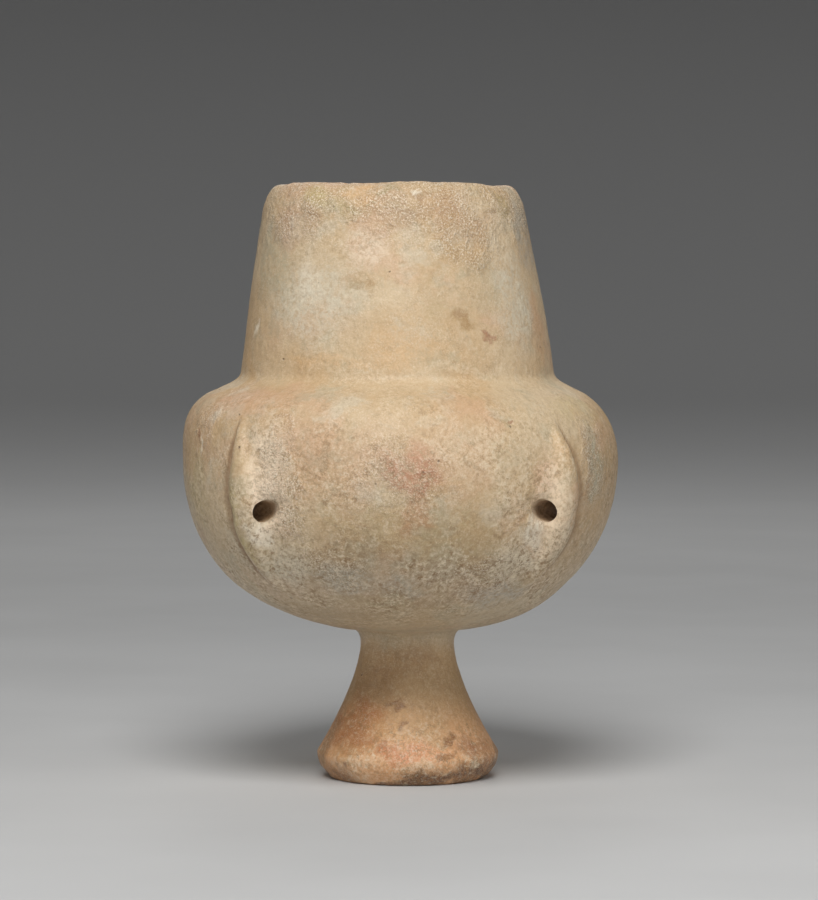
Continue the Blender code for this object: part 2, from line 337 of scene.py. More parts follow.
def from_front(angle):
    """Degrees round from the photographed side, positive towards the right-hand lug."""
    turned = math.degrees(angle) - math.degrees(math.atan2(FRONT.y, FRONT.x))
    return (turned + 180.0) % 360.0 - 180.0


def lug_swell(z):
    """A lug's share of its full stand-out at one height."""
    length = LUG_TOP_Z - LUG_CREST_Z if z >= LUG_CREST_Z else LUG_CREST_Z - LUG_BOTTOM_Z + LUG_RUN_OUT
    return max(0.0, 1.0 - ((z - LUG_CREST_Z) / length) ** 2)


def lug_side(lug):
    """Which way round a lug's softer flank and long scoop face: towards its neighbour at the front or the back."""
    return -1.0 if lug % 2 == 0 else 1.0


def lug_form(angle, z):
    """(stand-out, painted shade) of the nearest lug: a rounded crest, one steep flank with a crease and one soft flank,
    with shade painted along the crease.
    """
    swell = lug_swell(z)
    if swell <= 0.0:
        return 0.0, 0.0
    lug = round(angle / (math.pi / 2)) % 4
    bow = (FRONT_LUG_BOW if lug in FRONT_LUGS else BACK_LUG_BOW) * (1.0 - swell)
    turned = (angle - lug * math.pi / 2 - bow + math.pi) % (2.0 * math.pi) - math.pi
    width = max(swell, LUG_LEAST_WIDTH)
    low_end = 0.0
    if z < LUG_CREST_Z:
        low_end = 1.0 - swell
        swell **= LOW_END_FULLNESS
    if turned * lug_side(lug) > 0.0:
        width += LOW_END_SPREAD * low_end
    share = turned * lug_side(lug) / (LUG_HALF_WIDTH / BODY_RADIUS * width)
    fall = 1.0 - CREST_FALL * min(abs(share), 1.0) ** 2
    painted_shade = 0.0
    if share > 0.0:
        section = fall / (1.0 + share ** (SOFT_POWER - SOFT_POWER_LOSS * low_end))
        section += SOFT_TOE_HEIGHT * bell(share, SOFT_TOE, SOFT_TOE_WIDTH)
    else:
        section = fall / (1.0 + share ** STEEP_POWER)
        section -= CREASE_DEPTH * bell(share, CREASE, CREASE_WIDTH)
        # painted shade along and beyond the crease on the steep side
        painted_shade = sum(strength * bell(share, middle, band) for middle, band, strength in CREASE_SHADE_BANDS)
        painted_shade *= smooth_step(3.0 * swell)
    return LUG_REACH * swell * section, painted_shade


def bore_stations(lug):
    """Centres and radii of one bore along its run, as (along, outwards, upwards, radius)."""
    side = lug_side(lug)
    middle = bowl_radius(BORE_Z) - BORE_INSET
    return [
        (side * along * MM, middle + out * MM, BORE_Z + up * MM, radius * MM)
        for along, out, up, radius in BORE_RUN
    ]


def bore_gap(point, lug):
    """How far a point stands outside one bore."""
    angle = lug * math.pi / 2
    out = point.x * math.cos(angle) + point.y * math.sin(angle)
    along = -point.x * math.sin(angle) + point.y * math.cos(angle)
    here = Vector((along, out, point.z))
    nearest = 1.0
    stations = bore_stations(lug)
    for start, end in zip(stations, stations[1:]):
        foot, line = Vector(start[:3]), Vector(end[:3]) - Vector(start[:3])
        share = min(max((here - foot).dot(line) / line.length_squared, 0.0), 1.0)
        radius = start[3] + (end[3] - start[3]) * share
        nearest = min(nearest, (here - foot - line * share).length - radius)
    return nearest


# ------------------------------------------------------------------------------------------ wear

# Places on the rim that are worn lower: degrees from the front, reach in degrees, depth in mm
RIM_DIPS = (
    (66, 34, 0.9), (30, 12, 0.25), (-14, 26, 0.45), (-72, 16, 0.5), (-38, 8, 0.15), (118, 24, 0.7), (152, 16, 0.4),
    (-152, 26, 0.8), (-112, 18, 0.35), (180, 9, 0.9),
)

# Shallow knocks: degrees from the front, height, reach and depth in mm
KNOCKS = (
    (51, 9, 4.5, 0.7), (38, 7, 5.0, 0.5), (-47, 5, 6.0, 0.7), (-20, 3.5, 5.0, 0.5), (5, 3.5, 6.0, 0.45),
    (-38, 9.5, 2.2, 0.4), (30, 150, 2.6, 0.35), (62, 137, 2.2, 0.3), (-60, 154, 2.8, 0.3), (10, 158, 2.4, 0.3),
    (-30, 160, 2.4, 0.3), (-66, 117, 2.4, 0.3), (70, 112, 3.0, 0.3), (2, 118, 3.0, 0.3), (18, 235, 2.4, 0.35),
    (-44, 236, 3.0, 0.4), (45, 240, 4.0, 0.4), (58, 231, 3.0, 0.35), (37, 181, 2.0, 0.3), (-10, 203, 2.5, 0.2),
    (130, 8, 7.0, 0.8), (-130, 7, 5.0, 0.6), (165, 240, 5.0, 0.7), (-100, 238, 4.0, 0.5), (150, 120, 4.0, 0.3),
    (-160, 150, 3.0, 0.3), (-46, 112, 3.0, 0.25), (46, 126, 3.0, 0.25),
)

# Bands of further small knocks: lowest and highest, in mm, and how many; then the ranges of their reach and depth in mm
KNOCK_BANDS = (
    (2, 20, 26), (20, 60, 12), (66, 104, 34), (104, 150, 50), (150, 166, 34), (166, 226, 44), (226, 244, 30),
)
KNOCK_REACHES = (1.4, 3.2)
KNOCK_DEPTHS = (0.08, 0.3)
KNOCK_SEED = 41

# How far each kind of wear reaches and how deep it goes; the spall's line and the foot's flat are in mm
RIM_WEAR_Z = 233.0 * MM
RIM_WEAR_BAND = 11.0 * MM
INNER_RIM_WEAR = 0.8
SPALL_LOW, SPALL_RISE = 234.2, 10.8
SPALL_DEPTH = 0.5 * MM
FOOT_WEAR_TOP_Z = 26.0 * MM
FOOT_FLAT_DEPTH = 0.55
CREST_WEAR = 0.34 * MM
LIP_REACH = 2.8 * MM
LIP_INSIDE = 1.5 * MM
LIP_DEPTH = 0.95 * MM
# The painted shade on the bores' walls: how dark it gets, the depth where it starts, the depth over which it comes in,
# and how near the wall a point must lie
BORE_SHADE_DARKNESS = 0.9
BORE_SHADE_START = 2.0 * MM
BORE_SHADE_BAND = 6.5 * MM
BORE_WALL_GAP = 0.35 * MM


def rim_drop(front, z):
    """How far the rim is worn down at this place round it."""
    weight = smooth_step((z - RIM_WEAR_Z) / RIM_WEAR_BAND)
    if weight <= 0.0:
        return 0.0
    around = math.radians(front)
    place = Vector((math.cos(around), math.sin(around), 0.0))
    drop = 0.06 + 0.3 * abs(noise.noise(place * 2.7)) + 0.45 * max(0.0, noise.noise(place * 8.0 + UP * 3.0))
    drop += 0.5 * max(0.0, noise.noise(place * 19.0 + UP * 6.0)) + 0.2 * abs(noise.noise(place * 44.0))
    for middle, reach, depth in RIM_DIPS:
        away = abs((front - middle + 180.0) % 360.0 - 180.0)
        drop += depth * smooth_step(1.0 - away / reach)
    return drop * weight * MM


def spall_depth(front, z):
    """The old break out of the rim's outer edge, left of the middle: set back above a slanting line."""
    line = SPALL_LOW + SPALL_RISE * smooth_step((front + 30.0) / 34.0)
    line += 0.5 * noise.noise(Vector((front * 0.35, 1.3, 0.0)))
    above = smooth_step((z / MM - line) / 1.7)
    return SPALL_DEPTH * (above * smooth_step((front + 37.0) / 5.0) * smooth_step((8.0 - front) / 6.0))


def foot_wear(front, z):
    """The foot's broken lower edge, and the flat knocked onto it at the left."""
    if z > FOOT_WEAR_TOP_Z:
        return 0.0
    around = math.radians(front)
    place = Vector((math.cos(around), math.sin(around), 0.0))
    line = 4.6 + 1.1 * noise.noise(place * 3.1) + 0.6 * noise.noise(place * 11.0) + 1.2 * hill(front, 60.0, 30.0)
    low = smooth_step((line - z / MM) / 0.9) * smooth_step((z / MM) / 0.8)
    band = 0.35 + 0.35 * noise.noise(place * 6.0 + UP)
    flat = smooth_step((-50.0 - front) / 4.0) * smooth_step((front + 96.0) / 20.0) * hill(z / MM, 9.0, 16.0)
    return (max(band, 0.05) * low + FOOT_FLAT_DEPTH * flat) * MM


def relief(place, z, inside):
    """Hand-carved unevenness, outwards or inwards, and the grain of the worn skin."""
    if inside:
        return (0.9 * noise.noise(place * 40.0) + 0.2 * noise.noise(place * 120.0)) * MM
    broad = 0.30 * noise.noise(place * 26.0) + 0.12 * noise.noise(place * 72.0 + UP * 5.0)
    fine = 0.06 * noise.noise(place * 210.0) + 0.035 * noise.noise(place * 480.0)
    skin = noise.noise(place * 120.0 + UP * 9.0)
    pitted = -0.16 * max(0.0, skin - 0.30) / 0.4
    top = smooth_step((z - 222.0 * MM) / (10.0 * MM))
    return (broad + fine * (1.0 + 1.6 * top) + pitted) * MM


def scattered_knocks():
    """More small knocks all round, thickest on the shoulder, the foot and the rim."""
    chance = random.Random(KNOCK_SEED)
    knocks = []
    for low, high, count in KNOCK_BANDS:
        for _ in range(count):
            front, z = chance.uniform(-180, 180), chance.uniform(low, high)
            knocks.append((front, z, chance.uniform(*KNOCK_REACHES), chance.uniform(*KNOCK_DEPTHS)))
    return knocks


def surface_point(front, z):
    """A point on the outside, from degrees round from the front and a height in mm."""
    outline = outside_outline()
    height = z * MM
    radius = COLLAR_TOP_RADIUS - RIM_INSET
    for (low, low_z), (high, high_z) in zip(outline, outline[1:]):
        if low_z <= height <= high_z and high_z > low_z:
            radius = low + (high - low) * (height - low_z) / (high_z - low_z)
            break
    angle = math.radians(front) + math.atan2(FRONT.y, FRONT.x)
    return level_centre(height) + Vector((math.cos(angle), math.sin(angle), 0.0)) * radius + UP * height


# ------------------------------------------------------------------------------------------ mesh

def make_jar():
    """The whole jar as one closed surface, before it is drilled."""
    rows = all_rows()
    angles = column_angles()
    count = len(angles)
    rim_row = max(range(len(rows)), key=lambda index: (rows[index][1], rows[index][0]))
    mesh = bmesh.new()
    # painted shade per vertex, for the lugs' creases and, after drilling, the bores' walls
    painted_shade_layer = mesh.verts.layers.float.new("painted_shade")
    grid = []
    for index, (radius, z) in enumerate(rows):
        before, after = rows[max(index - 1, 0)], rows[min(index + 1, len(rows) - 1)]
        along = Vector((after[0] - before[0], after[1] - before[1])).normalized()
        out_share, up_share = along[1], -along[0]
        inside = index > rim_row and z < RIM_Z - 4.0 * MM
        underside = index < len(UNDERSIDE_SHARES)
        centre = level_centre(z)
        ring = []
        for angle in angles:
            outwards = Vector((math.cos(angle), math.sin(angle), 0.0))
            reach, painted_shade = (0.0, 0.0) if inside or underside else lug_form(angle, z)
            place = centre + outwards * (radius + reach) + UP * z
            normal = outwards * out_share + UP * up_share
            front = from_front(angle)
            depth = -relief(place, z, inside)
            if underside:
                middle = smooth_step((CONTACT_RADIUS - radius) / (6.0 * MM))
                depth = 0.5 * MM * abs(noise.noise(place * 60.0)) * middle
            elif not inside:
                depth += foot_wear(front, z)
                if index <= rim_row:
                    depth += spall_depth(front, z)
                depth += CREST_WEAR * lug_swell(z) * smooth_step(reach / (2.0 * MM))
                depth *= smooth_step(z / (1.5 * MM))
                place -= UP * rim_drop(front, z) * (1.0 if index <= rim_row else INNER_RIM_WEAR)
            place -= normal * depth
            place.z = min(place.z, RIM_Z)
            vertex = mesh.verts.new(place)
            vertex[painted_shade_layer] = painted_shade
            ring.append(vertex)
        grid.append(ring)
    for lower, upper in zip(grid, grid[1:]):
        for index in range(count):
            after = (index + 1) % count
            mesh.faces.new((lower[index], lower[after], upper[after], upper[index]))
    for ring, z, turned in ((grid[0], UNDERSIDE_LIFT, True), (grid[-1], CAVITY_FLOOR_Z, False)):
        pole = mesh.verts.new(level_centre(z) + UP * z)
        for index in range(count):
            after = (index + 1) % count
            mesh.faces.new((pole, ring[after], ring[index]) if turned else (pole, ring[index], ring[after]))
    knock_in(mesh, grid)
    bmesh.ops.recalc_face_normals(mesh, faces=mesh.faces)
    return mesh


def knock_in(mesh, grid):
    """Presses the knocks into the outside, and eases the lips of the bores."""
    mesh.normal_update()
    vertices = [vertex for ring in grid for vertex in ring]
    tree = kdtree.KDTree(len(vertices))
    for index, vertex in enumerate(vertices):
        tree.insert(vertex.co, index)
    tree.balance()
    for front, z, reach, depth in list(KNOCKS) + scattered_knocks():
        middle = surface_point(front, z)
        middle.z = min(middle.z, 243.0 * MM)
        for place, index, away in tree.find_range(middle, reach * MM * 1.4):
            ragged = 1.0 + 0.35 * noise.noise(place * 500.0)
            press = smooth_step(1.25 * (1.0 - away / (reach * MM * ragged))) * depth * MM
            vertex = vertices[index]
            inwards = (level_centre(vertex.co.z) + UP * vertex.co.z - vertex.co).normalized()
            if vertex.co.z > 1.5 * MM:
                vertex.co += inwards * press
    for lug in range(4):
        out = Vector((math.cos(lug * math.pi / 2), math.sin(lug * math.pi / 2), 0.0))
        for place, index, away in tree.find_range(out * bowl_radius(BORE_Z) + UP * BORE_Z, 30.0 * MM):
            vertex = vertices[index]
            gap = bore_gap(vertex.co, lug)
            if -LIP_INSIDE < gap < LIP_REACH and vertex.co.dot(out) > 75.0 * MM:
                vertex.co -= out * (LIP_DEPTH * (1.0 - max(gap, 0.0) / LIP_REACH) ** 2.2)


def make_bores():
    """The four bores as one closed cutter."""
    mesh = bmesh.new()
    for lug in range(4):
        turn = Matrix.Rotation(lug * math.pi / 2, 4, "Z")
        rings = []
        for along, out, up, radius in bore_stations(lug):
            ring = []
            for index in range(BORE_SIDES):
                angle = 2.0 * math.pi * index / BORE_SIDES
                cosine, sine = math.cos(angle), math.sin(angle)
                uneven = 1.0 + 0.035 * noise.noise(Vector((cosine, sine, along * 120.0 + lug)) * 1.7)
                place = Vector((out + radius * uneven * cosine, along, up + radius * uneven * sine))
                ring.append(mesh.verts.new(turn @ place))
            rings.append(ring)
        for first, second in zip(rings, rings[1:]):
            for index in range(BORE_SIDES):
                after = (index + 1) % BORE_SIDES
                mesh.faces.new((first[index], first[after], second[after], second[index]))
        mesh.faces.new(rings[0])
        mesh.faces.new(reversed(rings[-1]))
    bmesh.ops.recalc_face_normals(mesh, faces=mesh.faces)
    return mesh


def linked(name, mesh, material=None):
    """The mesh as an object of the scene."""
    data = bpy.data.meshes.new(name)
    mesh.to_mesh(data)
    mesh.free()
    if material is not None:
        data.materials.append(material)
    made = bpy.data.objects.new(name, data)
    bpy.context.scene.collection.objects.link(made)
    return made


def drilled(jar, cutter):
    """Cuts the bores out of the jar for good, and shades the result smoothly."""
    modifier = jar.modifiers.new("bores", "BOOLEAN")
    modifier.operation = "DIFFERENCE"
    modifier.solver = "EXACT"
    modifier.object = cutter
    view = bpy.context.evaluated_depsgraph_get()
    data = bpy.data.meshes.new_from_object(jar.evaluated_get(view))
    jar.modifiers.clear()
    old = jar.data
    jar.data = data
    bpy.data.meshes.remove(old)
    cutter_data = cutter.data
    bpy.data.objects.remove(cutter)
    bpy.data.meshes.remove(cutter_data)
    paint_bore_shade(jar.data)
    jar.data.shade_smooth()
    jar.data.set_sharp_from_angle(angle=math.radians(50.0))


def paint_bore_shade(data):
    """Paints shade onto the walls of the bores, darker the deeper they lie."""
    painted_shade = data.attributes["painted_shade"].data
    for vertex in data.vertices:
        place = vertex.co
        if abs(place.z - BORE_Z) > 9.0 * MM:
            continue
        angle = math.atan2(place.y, place.x)
        lug = round(angle / (math.pi / 2)) % 4
        outside = bowl_radius(place.z) + lug_form(angle, place.z)[0]
        depth = outside - (place - level_centre(place.z)).xy.length
        if 0.6 * MM < depth < 16.0 * MM and abs(bore_gap(place, lug)) < BORE_WALL_GAP:
            deep = BORE_SHADE_DARKNESS * smooth_step((depth - BORE_SHADE_START) / BORE_SHADE_BAND)
            painted_shade[vertex.index].value = max(painted_shade[vertex.index].value, deep)


# ------------------------------------------------------------------------------------------ marble

def tone(red, green, blue):
    """A colour given as it looks on a screen, as the shader takes it."""
    return tuple((value / 255.0) ** 2.2 for value in (red, green, blue)) + (1.0,)


CREAM = tone(206, 182, 147)
HONEY = tone(197, 165, 124)
PALE = tone(226, 207, 176)
WHITE = tone(240, 228, 206)
GREY_WHITE = tone(206, 195, 172)
PINK = tone(208, 164, 132)
PINK_BROWN = tone(186, 146, 118)
ROSE_WHITE = tone(242, 214, 184)
SALMON = tone(226, 156, 114)
IRON = tone(180, 118, 86)
RED_BROWN = tone(150, 92, 60)
TERRACOTTA = tone(190, 116, 62)
ORANGE = tone(216, 168, 112)
OLIVE = tone(150, 132, 84)
YELLOW_OLIVE = tone(196, 176, 120)
GREEN_GREY = tone(172, 164, 138)
BLUE_GREY = tone(170, 164, 152)
BROWN = tone(142, 110, 78)
TAN = tone(158, 124, 78)
UMBER = tone(136, 90, 54)
CRUST = tone(104, 70, 48)
DARK = tone(92, 70, 50)
BOWL_TINT = tone(176, 164, 140)
STEM_TINT = tone(188, 150, 104)
FOOT_TINT = tone(224, 168, 120)
CRYSTAL = tone(244, 230, 208)
BETWEEN_CRYSTALS = tone(138, 106, 80)
DARK_FLECK, LIGHT_FLECK = tone(142, 112, 76), tone(230, 212, 182)
DARK_GRAIN, LIGHT_GRAIN = tone(150, 122, 90), tone(234, 218, 190)

# Broad tints: shift of the noise, its scale, detail and roughness, where it fades in and is full, strength, colour
BROAD_TINTS = (
    ((3.1, 0.0, 0.0), 31.0, 3.0, 0.5, 0.50, 0.68, 0.42, PINK),
    ((0.0, 5.2, 0.0), 48.0, 4.0, 0.6, 0.52, 0.68, 0.50, GREY_WHITE),
    ((0.0, 0.0, 7.7), 66.0, 4.0, 0.6, 0.52, 0.70, 0.45, GREEN_GREY),
)

# Tints by height: the height where each fades in and where it is full, in metres, strength, colour
HEIGHT_TINTS = (
    (0.112, 0.080, 0.45, BOWL_TINT),
    (0.062, 0.050, 0.80, STEM_TINT),
    (0.040, 0.016, 0.85, FOOT_TINT),
)

# Patches: how far past their sizes they fade, how thick they are in mm, and where their edge and core lie
PATCH_SPREAD = 1.2
PATCH_THICKNESS = 11.0
PATCH_EDGE, PATCH_CORE = 1.1, 0.45

SKIN_ROUGHNESS = 0.46
BARE_ROUGHNESS = 0.64
CRYSTAL_GLINT = 0.3
BUMP_HEIGHT = 0.6 * MM

# Stains: degrees round from the front, height, half width and half height in mm, colour, strength
STAINS = (
    # collar and rim
    (-36, 196, 24, 18, GREY_WHITE, 0.75), (-60, 212, 14, 16, GREEN_GREY, 0.55), (52, 196, 13, 24, GREY_WHITE, 0.8),
    (-16, 219, 9, 9, WHITE, 0.35), (72, 222, 12, 16, BLUE_GREY, 0.6), (-36, 206, 7, 9, WHITE, 0.35),
    (36, 204, 9, 12, GREEN_GREY, 0.35), (8, 236, 26, 7, PINK_BROWN, 0.3), (28, 228, 14, 9, PINK_BROWN, 0.3),
    (48, 224, 8, 12, PALE, 0.4), (-48, 228, 12, 9, PINK_BROWN, 0.42), (-8, 229, 14, 6, PINK_BROWN, 0.3),
    (-41, 239, 7, 5, YELLOW_OLIVE, 0.6), (-27, 236, 7, 3, YELLOW_OLIVE, 0.35), (53, 235, 6, 5, OLIVE, 0.5),
    (38, 243, 6, 2.5, OLIVE, 0.3), (33, 238, 10, 8, PALE, 0.45), (-20, 235.5, 4, 1.0, OLIVE, 0.55),
    (-12, 238, 4, 1.0, OLIVE, 0.5), (-4, 241.5, 4, 1.0, OLIVE, 0.5), (-18, 241, 9, 3, ORANGE, 0.45),
    (10, 240, 3.5, 3, BROWN, 0.5), (4, 234, 3, 1.5, BROWN, 0.45), (44, 232, 3, 2, BROWN, 0.4),
    (9, 242.5, 1.8, 1.5, WHITE, 0.9), (-40, 231, 4, 1.2, BROWN, 0.45), (24, 191, 5, 4, TAN, 1.0),
    (24, 191, 3.5, 3, BROWN, 0.7), (27.5, 187, 4, 2.6, TAN, 1.0), (30, 196, 8, 10, HONEY, 0.3),
    (-8, 206, 7, 4, HONEY, 0.6), (-12, 203, 7, 3, TAN, 0.5), (-18, 206, 5, 2, TAN, 0.35),
    (37, 181, 2.8, 2.0, RED_BROWN, 0.8), (-67, 186, 2, 5, WHITE, 0.7), (2, 179, 16, 7, ORANGE, 0.45),
    (-52, 180, 16, 10, HONEY, 0.5), (-60, 196, 6, 10, HONEY, 0.3), (62, 178, 14, 9, HONEY, 0.45),
    (4, 186, 26, 12, HONEY, 0.65), (14, 200, 5, 12, OLIVE, 0.2), (-25, 173, 22, 3, ORANGE, 0.3),
    (20, 170, 30, 2, PALE, 0.35),
    # shoulder and body
    (-50, 157, 22, 8, PINK, 0.45), (-28, 132, 18, 18, PINK, 0.4), (-66, 146, 1.6, 2.6, RED_BROWN, 0.8),
    (-64, 140, 1.4, 6, WHITE, 0.7), (-58, 151, 6, 2.5, WHITE, 0.45), (30, 150, 1.4, 1.2, RED_BROWN, 0.7),
    (-70, 125, 14, 22, YELLOW_OLIVE, 0.4), (60, 153, 18, 6, YELLOW_OLIVE, 0.4), (3, 131, 11, 9, IRON, 0.85),
    (0, 138, 16, 5, PINK, 0.45), (4, 147, 24, 8, HONEY, 0.45), (4, 116, 5, 11, IRON, 0.55),
    (38, 128, 5, 7, PINK, 0.6), (30, 112, 7, 9, PINK, 0.3), (-31, 130, 3.5, 16, PALE, 0.35),
    (18, 138, 16, 12, PALE, 0.4), (28, 126, 12, 18, PALE, 0.3), (-18, 87, 13, 9, BLUE_GREY, 0.6),
    (-36, 90, 11, 9, GREY_WHITE, 0.85), (0, 83, 10, 6, BLUE_GREY, 0.5), (-10, 78, 18, 4, OLIVE, 0.3),
    (8, 76, 10, 3, BROWN, 0.35), (34, 80, 16, 7, BLUE_GREY, 0.7), (36, 92, 12, 8, GREY_WHITE, 0.7),
    (40, 95, 2, 2, WHITE, 0.8), (33, 98, 9, 9, PALE, 0.55), (60, 132, 7, 18, GREEN_GREY, 0.85),
    (57, 118, 4, 16, BROWN, 0.3), (56, 138, 3, 8, BROWN, 0.3), (52, 101, 8, 4, PALE, 0.5),
    (14, 104, 18, 14, OLIVE, 0.3), (-8, 108, 16, 12, OLIVE, 0.3), (-12, 98, 20, 8, BROWN, 0.25),
    (16, 92, 16, 6, BROWN, 0.22), (-30, 72, 24, 5, BROWN, 0.25),
    # lugs
    (-46, 118, 4, 22, YELLOW_OLIVE, 0.75), (-44, 119, 2.5, 3, PALE, 0.6), (-44, 100, 5, 9, YELLOW_OLIVE, 0.55),
    (-48, 93, 5, 9, BROWN, 0.75), (-40.5, 105.5, 6, 4.5, WHITE, 1.0), (-37, 134, 6, 14, PALE, 0.95),
    (-38, 120, 5, 11, WHITE, 0.6), (-48, 96, 3, 12, UMBER, 0.55), (-36, 124, 8, 27, ROSE_WHITE, 0.75),
    # the PALE patch at (44, 114) is painted light, brightening the right lug's near face as if lit from the right
    (-39, 103, 5, 4, WHITE, 0.6), (-34, 97, 7, 8, PALE, 0.35), (44, 114, 6, 20, PALE, 0.9),
    (41, 116, 8, 24, ROSE_WHITE, 0.6), (38, 105, 6, 4.5, WHITE, 0.9), (40, 92, 8, 6, PALE, 0.6),
    (44, 140, 4, 8, ORANGE, 0.3),
    # stem and foot
    (-4, 63, 16, 6, GREEN_GREY, 0.6), (-8, 57, 5, 5, GREEN_GREY, 0.5), (20, 52, 8, 8, BROWN, 0.35),
    (-24, 50, 16, 9, BROWN, 0.35), (-44, 24, 17, 14, TERRACOTTA, 0.8), (-34, 40, 16, 8, UMBER, 0.3),
    (-38, 14, 10, 6, ORANGE, 0.5), (-74, 13, 6, 10, BROWN, 0.7), (-30, 36, 12, 7, BROWN, 0.3),
    (-10, 13.5, 9, 2.6, TERRACOTTA, 1.0), (0, 11.5, 10, 2.2, TERRACOTTA, 0.85), (-2, 16, 7, 2, IRON, 0.5),
    (-16, 16, 4, 1.6, RED_BROWN, 0.45), (8, 13.5, 16, 6, SALMON, 0.7), (0, 24, 14, 6, ORANGE, 0.6),
    (-34, 7, 12, 5, PALE, 0.4), (12, 7, 9, 3, PALE, 0.45), (26, 24, 9, 9, HONEY, 0.5),
    (-2, 0.6, 22, 1.8, CRUST, 0.8), (22, 1.4, 15, 3.0, CRUST, 0.9), (44, 3.0, 16, 4.6, CRUST, 0.9),
    (66, 4.6, 14, 5.4, CRUST, 0.9), (84, 8, 9, 6, CRUST, 0.7), (30, 12, 3.2, 1.7, UMBER, 0.95),
    (34.5, 19, 4.2, 2.8, UMBER, 0.9), (-48, 20, 14, 13, UMBER, 0.35), (50, 15, 6, 4, RED_BROWN, 0.45),
    (64, 14, 8, 6, RED_BROWN, 0.5), (51.5, 7.5, 3.6, 3.4, PALE, 1.0), (44, 13, 6, 3, RED_BROWN, 0.7),
    (-38, 9, 2.2, 1.8, RED_BROWN, 0.8), (-6, 33, 4.0, 1.5, UMBER, 0.75), (-1, 30, 1.8, 2.0, UMBER, 0.75),
    (5, 24.5, 2.2, 1.3, UMBER, 0.7), (-58, 3.5, 14, 4, UMBER, 0.5), (-28, 0.8, 24, 2.2, CRUST, 0.6),
    # the sides and the back, in keeping
    (100, 130, 20, 22, GREEN_GREY, 0.5), (128, 145, 18, 10, PALE, 0.4), (160, 120, 26, 18, PINK, 0.4),
    (-105, 135, 22, 16, YELLOW_OLIVE, 0.4), (-135, 110, 16, 20, BLUE_GREY, 0.5), (-160, 140, 16, 14, IRON, 0.3),
    (120, 205, 20, 18, GREY_WHITE, 0.6), (160, 228, 20, 8, PINK_BROWN, 0.45), (-130, 195, 18, 16, GREY_WHITE, 0.6),
    (-95, 232, 16, 6, BROWN, 0.35), (110, 14, 14, 9, TERRACOTTA, 0.6), (-150, 12, 16, 8, ORANGE, 0.5),
    (-155, 4, 18, 4, CRUST, 0.7), (140, 5, 22, 4, CRUST, 0.75), (-105, 4, 16, 4, CRUST, 0.6),
)

# Places where the skin is gone and the bare grain glitters: degrees round from the front, height, half width and
# half height in mm, strength
BARE_PATCHES = (
    (-32, 122, 10, 34, 1.0), (36, 104, 12, 20, 0.65), (28, 90, 22, 14, 0.8), (-22, 92, 20, 14, 0.7),
    (60, 134, 12, 22, 0.9), (0, 128, 24, 20, 0.55), (0, 12, 26, 12, 0.4), (52, 8, 9, 6, 0.45),
    (-62, 150, 12, 12, 0.6), (-50, 232, 18, 12, 0.9), (30, 222, 20, 14, 0.9), (130, 120, 30, 26, 0.8),
    (-130, 130, 26, 24, 0.8), (150, 10, 24, 10, 0.8),
)


class NodeMaterial:
    """Adds nodes to one material."""

    def __init__(self, name):
        self.material = bpy.data.materials.new(name)
        self.material.use_nodes = True
        self.tree = self.material.node_tree
        self.shader = self.tree.nodes["Principled BSDF"]

    def put(self, socket, value):
        if isinstance(value, bpy.types.NodeSocket):
            self.tree.links.new(value, socket)
        elif value is not None:
            socket.default_value = value

    def add(self, kind, values=(), **settings):
        """One node of this kind, with its settings and its inputs' values or links."""
        node = self.tree.nodes.new(kind)
        for name, value in settings.items():
            setattr(node, name, value)
        for index, value in values:
            self.put(node.inputs[index], value)
        return node

    def math(self, operation, first, second=None, third=None):
        return self.add("ShaderNodeMath", ((0, first), (1, second), (2, third)), operation=operation).outputs[0]

    def vector(self, operation, first, second=None, scale=None):
        values = [(0, first)]
        if second is not None:
            values.append((1, second))
        if scale is not None:
            values.append(("Scale", scale))
        node = self.add("ShaderNodeVectorMath", values, operation=operation)
        return node.outputs["Value"] if operation in ("LENGTH", "DOT_PRODUCT") else node.outputs[0]

    def noise(self, vector, scale, detail=2.0, roughness=0.5):
        values = (("Vector", vector), ("Scale", scale), ("Detail", detail), ("Roughness", roughness))
        node = self.add("ShaderNodeTexNoise", values)
        return node.outputs["Fac"], node.outputs["Color"]

    def cells(self, vector, scale):
        node = self.add("ShaderNodeTexVoronoi", (("Vector", vector), ("Scale", scale)), feature="F1")
        return node.outputs["Distance"], node.outputs["Color"]

    def fade(self, value, low, high, to_low=0.0, to_high=1.0):
        """A smooth change from one value to another while the input runs from low to high."""
        node = self.add(
            "ShaderNodeMapRange",
            (("Value", value), ("From Min", low), ("From Max", high), ("To Min", to_low), ("To Max", to_high)),
            interpolation_type="SMOOTHSTEP",
        )
        return node.outputs["Result"]

    def mix(self, factor, first, second):
        node = self.add("ShaderNodeMix", (), data_type="RGBA", blend_type="MIX")
        self.put(node.inputs["Factor"], factor)
        self.put(next(s for s in node.inputs if s.name == "A" and s.type == "RGBA"), first)
        self.put(next(s for s in node.inputs if s.name == "B" and s.type == "RGBA"), second)
        return next(s for s in node.outputs if s.type == "RGBA")


